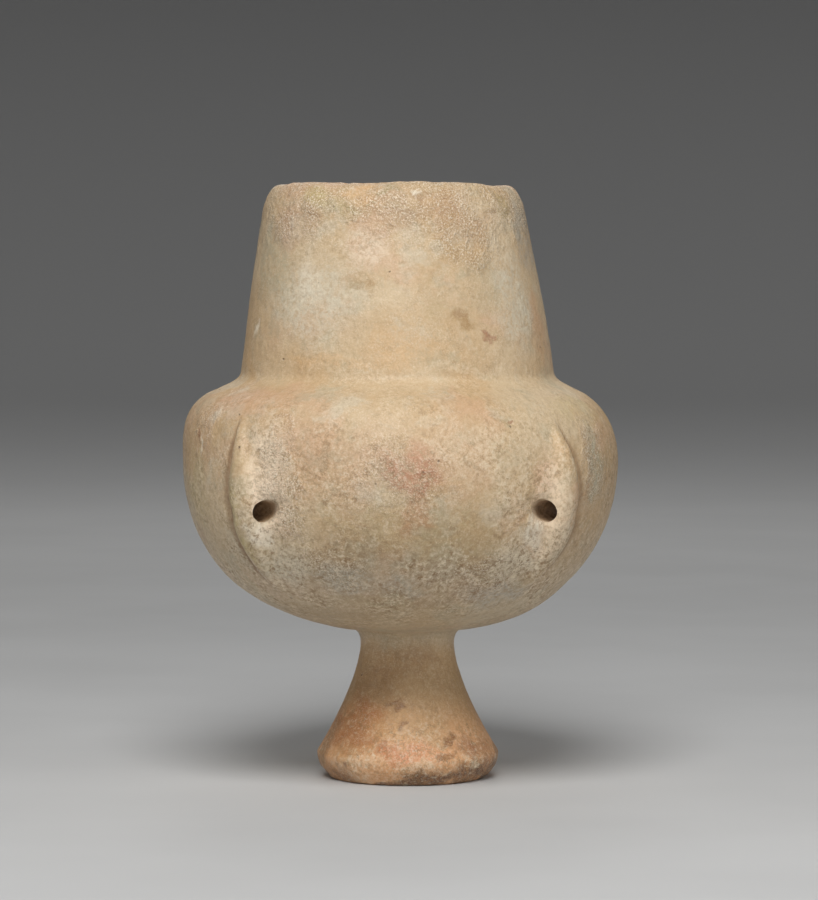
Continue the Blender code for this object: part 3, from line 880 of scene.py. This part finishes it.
def weathered_marble():
    """Warm old marble: broad tints, cloudy crystal patches, named stains, bare grain, pits, and painted shade in the
    creases and bores.
    """
    m = NodeMaterial("weathered_marble")
    place = m.add("ShaderNodeTexCoord").outputs["Object"]
    height = m.add("ShaderNodeSeparateXYZ", ((0, place),)).outputs["Z"]

    # a place that wanders a few millimetres, so that no stain has a clean edge
    coarse = m.vector("SUBTRACT", m.noise(place, 80.0, 2.0)[1], (0.5, 0.5, 0.5))
    small = m.vector("SUBTRACT", m.noise(place, 420.0, 2.0)[1], (0.5, 0.5, 0.5))
    wander = m.vector("ADD", place, m.vector("SCALE", coarse, scale=0.016))
    wander = m.vector("ADD", wander, m.vector("SCALE", small, scale=0.0042))

    # the place on the jar: degrees round from the front, height and distance from the axis in mm
    forward = m.vector("DOT_PRODUCT", wander, FRONT)
    sideways = m.vector("DOT_PRODUCT", wander, RIGHT)
    round_from_front = m.math("MULTIPLY", m.math("ARCTAN2", sideways, forward), 180.0 / math.pi)
    squares = m.math("ADD", m.math("MULTIPLY", forward, forward), m.math("MULTIPLY", sideways, sideways))
    from_axis = m.math("MULTIPLY", m.math("SQRT", squares), 1.0 / MM)
    up = m.math("MULTIPLY", m.add("ShaderNodeSeparateXYZ", ((0, wander),)).outputs["Z"], 1.0 / MM)
    where = m.add("ShaderNodeCombineXYZ", ((0, round_from_front), (1, up), (2, from_axis))).outputs[0]

    def patch(front, z, half_width, half_height, strength):
        """Strength in the middle of an oval place on the jar, fading to 0 past its edge."""
        middle = surface_point(front, z)
        radius = math.hypot(middle.x, middle.y)
        degree = math.radians(1.0) * radius / MM
        width, rise = half_width * PATCH_SPREAD, half_height * PATCH_SPREAD
        share = Vector((degree / width, 1.0 / rise, 1.0 / PATCH_THICKNESS))
        shift = Vector((-front * share.x, -z * share.y, -radius / MM * share.z))
        values = ((0, where), (1, share), (2, shift))
        local = m.add("ShaderNodeVectorMath", values, operation="MULTIPLY_ADD").outputs[0]
        return m.fade(m.vector("LENGTH", local), PATCH_EDGE, PATCH_CORE, 0.0, strength)

    # where the skin is gone: the rim's worn band, the named patches, and here and there
    bare = m.fade(height, 0.216, 0.234, 0.22, 0.95)
    for front, z, half_width, half_height, strength in BARE_PATCHES:
        bare = m.math("MAXIMUM", bare, patch(front, z, half_width, half_height, strength))
    bare = m.math("MULTIPLY", bare, m.fade(m.noise(place, 95.0, 3.0, 0.6)[0], 0.34, 0.6, 0.45, 1.15))
    speck = m.noise(place, 1500.0, 2.0, 0.8)[0]
    grain = m.noise(place, 620.0, 3.0, 0.7)[0]
    mottle = m.fade(m.noise(wander, 210.0, 3.0, 0.65)[0], 0.34, 0.60, 0.50, 1.0)
    mottle = m.math("MULTIPLY", mottle, m.fade(grain, 0.36, 0.56, 0.45, 1.1))

    # broad tints
    colour = m.mix(m.fade(m.noise(wander, 17.0, 3.0)[0], 0.38, 0.62), HONEY, CREAM)
    for shift, scale, detail, roughness, low, high, strength, tint in BROAD_TINTS:
        cloud = m.noise(m.vector("ADD", wander, shift), scale, detail, roughness)[0]
        colour = m.mix(m.fade(cloud, low, high, 0.0, strength), colour, tint)
    for start, full, strength, tint in HEIGHT_TINTS:
        colour = m.mix(m.fade(height, start, full, 0.0, strength), colour, tint)
    for front, z, half_width, half_height, stain, strength in STAINS:
        colour = m.mix(m.math("MULTIPLY", patch(front, z, half_width, half_height, strength), mottle), colour, stain)

    # grain: crystals lighter and darker, stronger where the skin is gone
    light = m.math("MULTIPLY", m.fade(speck, 0.50, 0.65, 0.0, 0.78), bare)
    dark = m.math("MULTIPLY", m.fade(speck, 0.47, 0.32, 0.0, 0.44), bare)
    fleck = m.noise(place, 300.0, 4.0, 0.75)[0]
    flecked = m.math("ADD", m.fade(height, 0.172, 0.120, 0.40, 1.0), m.fade(height, 0.106, 0.090, 0.0, 0.5))
    flecked = m.math("MULTIPLY", flecked, m.fade(height, 0.058, 0.082, 0.30, 1.0))
    flecked = m.math("ADD", flecked, m.fade(height, 0.036, 0.018, 0.0, 0.5))
    flecked = m.math("MULTIPLY", flecked, m.fade(m.noise(place, 60.0, 2.0)[0], 0.36, 0.62, 0.5, 1.25))
    for cloud, low, high, strength, tint in (
        (fleck, 0.48, 0.35, 0.50, DARK_FLECK),
        (fleck, 0.52, 0.66, 0.38, LIGHT_FLECK),
        (grain, 0.49, 0.36, 0.34, DARK_GRAIN),
        (grain, 0.52, 0.64, 0.36, LIGHT_GRAIN),
    ):
        colour = m.mix(m.math("MULTIPLY", m.fade(cloud, low, high, 0.0, strength), flecked), colour, tint)
    colour = m.mix(light, colour, CRYSTAL)
    colour = m.mix(dark, colour, BETWEEN_CRYSTALS)

    # pits that hold dirt, and painted shade in the creases and bores
    slightly = m.vector("ADD", place, m.vector("SCALE", small, scale=0.0012))
    pit_distance, pit_colour = m.cells(slightly, 230.0)
    chosen = m.add("ShaderNodeSeparateColor", ((0, pit_colour),)).outputs[2]
    pit = m.math("MULTIPLY", m.fade(pit_distance, 0.17, 0.05), m.fade(chosen, 0.94, 0.99))
    colour = m.mix(m.math("MULTIPLY", pit, 0.65), colour, DARK)
    painted_shade = m.add("ShaderNodeAttribute", attribute_name="painted_shade").outputs["Fac"]
    colour = m.mix(m.fade(painted_shade, 0.0, 0.5, 0.0, 0.8), colour, BROWN)
    colour = m.mix(m.math("MULTIPLY", m.fade(painted_shade, 0.3, 1.0), m.fade(grain, 0.35, 0.6, 1.0, 0.6)), colour, DARK)
    m.put(m.shader.inputs["Base Color"], colour)

    # dull polish on the skin, none on the grain, with glinting crystals
    rough = m.math("MULTIPLY_ADD", bare, BARE_ROUGHNESS - SKIN_ROUGHNESS, SKIN_ROUGHNESS)
    rough = m.math("SUBTRACT", rough, m.math("MULTIPLY", light, CRYSTAL_GLINT))
    m.put(m.shader.inputs["Roughness"], rough)
    m.shader.inputs["Specular IOR Level"].default_value = 0.4
    m.shader.inputs["IOR"].default_value = 1.5

    # surface: grain where it is bare, small dents, pits, and tool strokes round the underside of the bowl
    grains = m.math("ADD", m.math("MULTIPLY", speck, 0.8), grain)
    relief_height = m.math("MULTIPLY", grains, m.fade(bare, 0.0, 1.0, 0.12, 1.5))
    dents = m.noise(place, 250.0, 3.0, 0.6)[0]
    relief_height = m.math("ADD", relief_height, m.math("MULTIPLY", dents, 1.2))
    relief_height = m.math("SUBTRACT", relief_height, m.math("MULTIPLY", pit, 0.9))
    strokes = m.noise(m.vector("MULTIPLY", place, (1.0, 1.0, 14.0)), 75.0, 2.0, 0.6)[0]
    under_bowl = m.math("MULTIPLY", m.fade(height, 0.080, 0.070), m.fade(height, 0.054, 0.062))
    relief_height = m.math("ADD", relief_height, m.math("MULTIPLY", strokes, m.math("MULTIPLY", under_bowl, 1.6)))
    bumps = m.add("ShaderNodeBump", (("Strength", 0.8), ("Distance", BUMP_HEIGHT), ("Height", relief_height)))
    m.put(m.shader.inputs["Normal"], bumps.outputs[0])
    return m.material


# ------------------------------------------------------------------------------------------ studio

FLOOR_SIDES = 96
FLOOR_FLAT = (0.6, 1.2, 1.8)
FLOOR_RADIUS, FLOOR_TOP_Z = 6.4, 3.8
NEAR_FLOOR = ((0.56, 0.56, 0.555, 1.0), (0.59, 0.59, 0.585, 1.0))
# Painted light and shade: the floor grows paler far from the jar, and the sweep grows darker higher up
FAR_FLOOR_PAINTED_LIGHT = (0.88, 0.88, 0.875, 1.0)
SWEEP_TOP_PAINTED_SHADE = (0.30, 0.30, 0.30, 1.0)

# Soft lamps, aimed at the body: name, place forward, right and up of the jar, diameter in metres, power in watts
LAMPS = (
    ("key", 0.95, -0.05, 1.30, 0.80, 19.0),
    ("left_fill", 0.7, -2.1, 0.70, 0.9, 3.2),
    ("right_fill", 0.7, 2.1, 0.70, 0.9, 5.0),
    ("low_fill", 2.4, 0.2, 0.60, 0.9, 7.2),
    ("back_fill", -1.7, 0.0, 1.5, 1.0, 7.0),
)
LAMP_TARGET = Vector((0.0, 0.0, 0.12))


def make_floor():
    """A pale floor that sweeps up far behind the jar, the same from every side, with painted light making it paler far
    off and painted shade making the sweep darker higher up.
    """
    mesh = bmesh.new()
    flat = FLOOR_FLAT[-1]
    outline = [(radius, 0.0) for radius in FLOOR_FLAT]
    outline += curve((flat, 0.0), (4.2, 0.0), (5.8, 0.9), (FLOOR_RADIUS, FLOOR_TOP_Z), 28)
    turns = [2 * math.pi * index / FLOOR_SIDES for index in range(FLOOR_SIDES)]
    middle = mesh.verts.new((0.0, 0.0, 0.0))
    rings = [
        [mesh.verts.new((radius * math.cos(turn), radius * math.sin(turn), z)) for turn in turns]
        for radius, z in outline
    ]
    for index in range(FLOOR_SIDES):
        mesh.faces.new((middle, rings[0][index], rings[0][(index + 1) % FLOOR_SIDES]))
    for inner, outer in zip(rings, rings[1:]):
        for index in range(FLOOR_SIDES):
            after = (index + 1) % FLOOR_SIDES
            mesh.faces.new((inner[index], outer[index], outer[after], inner[after]))
    m = NodeMaterial("pale_floor")
    place = m.add("ShaderNodeTexCoord").outputs["Object"]
    near = m.mix(m.fade(m.noise(place, 6.0, 3.0)[0], 0.3, 0.7), *NEAR_FLOOR)
    # painted light: the floor's colour grows paler away from the jar
    far = m.mix(m.fade(m.vector("LENGTH", place), 0.7, 3.4), near, FAR_FLOOR_PAINTED_LIGHT)
    height = m.add("ShaderNodeSeparateXYZ", ((0, place),)).outputs["Z"]
    # painted shade: the colour darkens up the sweep
    m.put(m.shader.inputs["Base Color"], m.mix(m.fade(height, 0.0, 1.6), far, SWEEP_TOP_PAINTED_SHADE))
    m.shader.inputs["Roughness"].default_value = 0.85
    m.shader.inputs["Specular IOR Level"].default_value = 0.15
    floor = linked("studio_floor", mesh, m.material)
    floor.data.shade_smooth()


def make_studio():
    """The lamps and a dim even sky."""
    for name, forward, right, up, diameter, power in LAMPS:
        data = bpy.data.lights.new(name, "AREA")
        data.shape = "DISK"
        data.size = diameter
        data.energy = power
        made = bpy.data.objects.new(name, data)
        made.location = FRONT * forward + RIGHT * right + UP * up
        made.rotation_euler = (LAMP_TARGET - made.location).to_track_quat("-Z", "Y").to_euler()
        bpy.context.scene.collection.objects.link(made)
    world = bpy.data.worlds.new("studio")
    world.use_nodes = True
    background = world.node_tree.nodes["Background"]
    background.inputs["Color"].default_value = (0.80, 0.80, 0.80, 1.0)
    background.inputs["Strength"].default_value = 0.12
    bpy.context.scene.world = world
    bpy.context.scene.view_settings.view_transform = "Standard"


def make_camera():
    """The photograph's camera, aimed a little down and to the right of the jar's axis."""
    focal_pixels = CAMERA_DISTANCE / METRES_PER_PIXEL
    level_row = GROUND_ROW - CAMERA_HEIGHT / METRES_PER_PIXEL
    tilt = math.atan((FRAME_HEIGHT / 2 - level_row) / focal_pixels)
    pan = math.atan((FRAME_WIDTH / 2 - AXIS_COLUMN) / focal_pixels)
    data = bpy.data.cameras.new("camera")
    data.sensor_fit = "HORIZONTAL"
    data.sensor_width = 36.0
    data.lens = focal_pixels / math.cos(tilt) / FRAME_WIDTH * 36.0
    data.clip_end = 20.0
    camera = bpy.data.objects.new("camera", data)
    turn = Matrix.Rotation(AZIMUTH - pan, 4, "Z") @ Matrix.Rotation(math.pi / 2 - tilt, 4, "X")
    camera.matrix_world = Matrix.Translation(FRONT * CAMERA_DISTANCE + UP * CAMERA_HEIGHT) @ turn
    bpy.context.scene.collection.objects.link(camera)
    bpy.context.scene.camera = camera


def main():
    make_camera()
    jar = linked("marble_jar", make_jar(), weathered_marble())
    drilled(jar, linked("bores", make_bores()))
    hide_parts("jar")
    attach(jar, "root")
    make_floor()
    make_studio()
    bpy.context.view_layer.update()


main()
